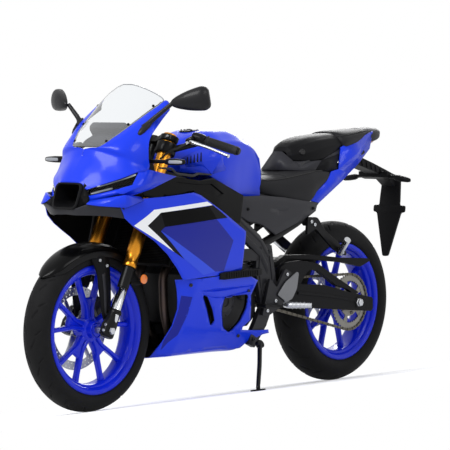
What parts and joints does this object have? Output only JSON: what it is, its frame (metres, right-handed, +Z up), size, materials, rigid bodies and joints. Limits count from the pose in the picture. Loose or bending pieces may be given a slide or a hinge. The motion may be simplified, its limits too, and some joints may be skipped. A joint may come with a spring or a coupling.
{
  "type": "sport motorcycle",
  "caption": "Faired sport motorcycle leaning on its side stand, with steering, spinning wheels and a folding side stand",
  "frame": {"origin": "bottom centre of the bounding box, on the ground", "axes": "+X forward, +Y to the rider's left, +Z up; the motorcycle leans 9 degrees to its left"},
  "size_m": [2.077, 0.7472, 1.1798],
  "materials": {
    "rubber": "black rubber",
    "black_plastic": "satin black",
    "black_metal": "satin black paint",
    "grey_cover": "satin dark grey",
    "steel": "bright steel",
    "gloss_black": "gloss black",
    "engine": "dark grey cast alloy",
    "exhaust": "dark satin steel",
    "silver": "satin alloy",
    "gold": "gold anodised",
    "frame_grey": "satin dark grey paint",
    "blue_wheel": "gloss blue paint",
    "tyre": "black tyre",
    "blue_body": "gloss deep blue paint",
    "lens": "smoked lens",
    "blue_shell": "gloss deep blue paint on plastic",
    "seat": "matt black seat cover",
    "red_lens": "red lens",
    "screen": "clear screen"
  },
  "bodies": {
    "chassis": {"chain_guard": "black_plastic", "cockpit_panel": "grey_cover", "drive_chain": "steel", "duct_panels": "gloss_black", "engine_block": "engine", "engine_covers": "engine", "exhaust_headers": "exhaust", "footrest_left": "silver", "footrest_right": "silver", "frame": "frame_grey", "front_indicators": "black_plastic", "front_stay": "black_metal", "fuel_tank": "blue_body", "headlamps": "lens", "instrument_panel": "black_plastic", "intake_duct": "black_plastic", "lower_cowl": "blue_shell", "mirror_left": "black_plastic", "mirror_right": "black_plastic", "pillion_footrests": "black_metal", "pillion_seat": "seat", "pivot_plates": "frame_grey", "plate_holder": "black_plastic", "radiator": "black_metal", "rear_axle": "steel", "rear_indicators": "black_plastic", "rider_seat": "seat", "shock_absorber": "black_metal", "side_covers": "grey_cover", "side_fairing_left": "blue_shell", "side_fairing_right": "blue_shell", "silencer": "exhaust", "subframe": "black_metal", "swingarm": "black_metal", "tail_cowl": "blue_shell", "tail_lamp": "red_lens", "tail_undertray": "black_plastic", "upper_cowl": "blue_shell", "windscreen": "screen"},
    "steering": {"fork_yokes": "black_metal", "fork_outers": "gold", "fork_inners": "steel", "front_axle": "steel", "clip_ons": "black_metal", "grips": "rubber", "levers": "silver", "front_fender": "gloss_black", "front_caliper": "black_metal", "brake_hose": "rubber"},
    "front_wheel": {"front_rim": "blue_wheel", "front_tyre": "tyre", "front_brake_disc": "steel"},
    "rear_wheel": {"rear_rim": "blue_wheel", "rear_tyre": "tyre", "rear_brake_disc": "steel", "rear_sprocket": "steel"},
    "side_stand": {"side_stand": "black_metal"}
  },
  "joints": [
    {"name": "steering", "type": "hinge", "parent": "chassis", "child": "steering", "pos_m": [0.44747, -0.0202, 0.83337], "axis": [-0.4226, 0.1418, 0.8951], "range_deg": [-30, 30]},
    {"name": "front_wheel_spin", "type": "hinge", "parent": "steering", "child": "front_wheel", "pos_m": [0.7455, -0.10621, 0.29027], "axis": [0, 0.9877, -0.1564], "continuous": true},
    {"name": "rear_wheel_spin", "type": "hinge", "parent": "chassis", "child": "rear_wheel", "pos_m": [-0.6345, -0.10293, 0.31101], "axis": [0, 0.9877, -0.1564], "continuous": true},
    {"name": "side_stand_fold", "type": "hinge", "parent": "chassis", "child": "side_stand", "pos_m": [-0.0025, 0.04257, 0.1685], "axis": [0, 0.9176, 0.3974], "range_deg": [0, 137.3]}
  ]
}
